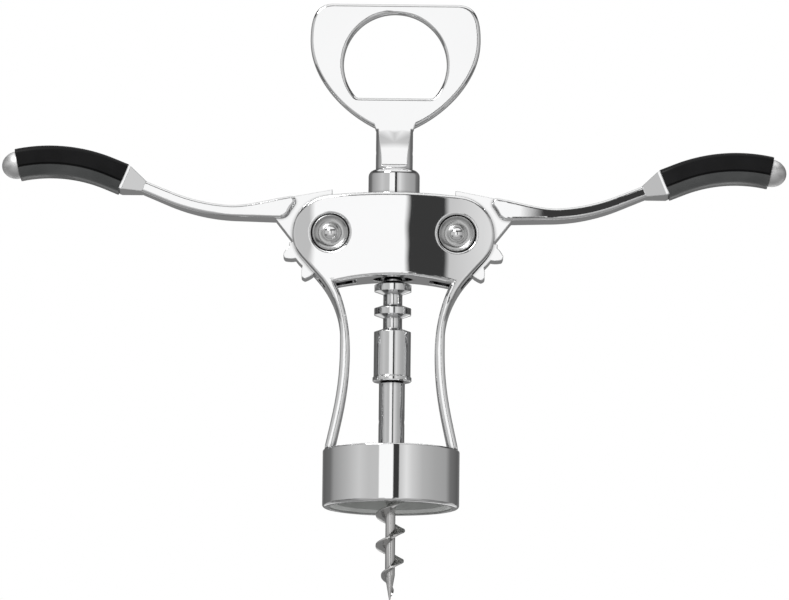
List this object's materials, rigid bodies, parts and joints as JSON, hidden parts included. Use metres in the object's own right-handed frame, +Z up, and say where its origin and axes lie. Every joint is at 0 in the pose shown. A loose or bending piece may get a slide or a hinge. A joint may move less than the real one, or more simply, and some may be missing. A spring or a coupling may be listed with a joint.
{
  "type": "lever corkscrew",
  "caption": "Lever corkscrew: geared levers on a cast frame drive a round rack that lifts a worm out of a bell, with a bottle-cap opener as its turning handle.",
  "frame": {"origin": "centre of the bell's bottom rim, on the worm's axis", "axes": "+Z up along the worm's axis towards the handle, +X towards the right-hand lever, the front faces -Y"},
  "size_m": [0.2358, 0.041, 0.1806],
  "materials": {
    "chrome": "polished",
    "spindle_steel": "polished",
    "worm_steel": "satin",
    "grip": "satin",
    "liner": "matte"
  },
  "bodies": {
    "frame": {"frame": "chrome", "bell_liner": "liner", "spindle_bush": "chrome", "pivot_pin_left": "chrome", "pivot_pin_right": "chrome", "pivot_cap_front_left": "chrome", "pivot_cap_front_right": "chrome", "pivot_cap_back_left": "chrome", "pivot_cap_back_right": "chrome"},
    "lever_left": {"lever_left": "chrome", "grip_left": "grip", "end_cap_left": "chrome"},
    "lever_right": {"lever_right": "chrome", "grip_right": "grip", "end_cap_right": "chrome"},
    "rack": {"rack_sleeve": "spindle_steel"},
    "screw": {"opener_handle": "chrome", "worm": "worm_steel", "worm_collar": "spindle_steel", "worm_collar_pin": "worm_steel", "handle_pin": "worm_steel"}
  },
  "joints": [
    {"name": "lever_left_pivot", "type": "hinge", "parent": "frame", "child": "lever_left", "pos_m": [-0.01887, 0, 0.0821], "axis": [0, 1, 0], "range_deg": [-92, 55]},
    {"name": "lever_right_pivot", "type": "hinge", "parent": "frame", "child": "lever_right", "pos_m": [0.01887, 0, 0.0821], "axis": [0, -1, 0], "range_deg": [-92, 55]},
    {"name": "rack_slide", "type": "slide", "parent": "frame", "child": "rack", "axis": [0, 0, 1], "range_m": [-0.01205, 0.0201]},
    {"name": "screw_turn", "type": "hinge", "parent": "rack", "child": "screw", "pos_m": [0, 0, 0.07], "axis": [0, 0, 1], "continuous": true}
  ],
  "couplings": [
    {"joint": "lever_right_pivot", "follows": "lever_left_pivot", "ratio": 1},
    {"joint": "rack_slide", "follows": "lever_left_pivot", "m_per_rad": -0.0125}
  ]
}
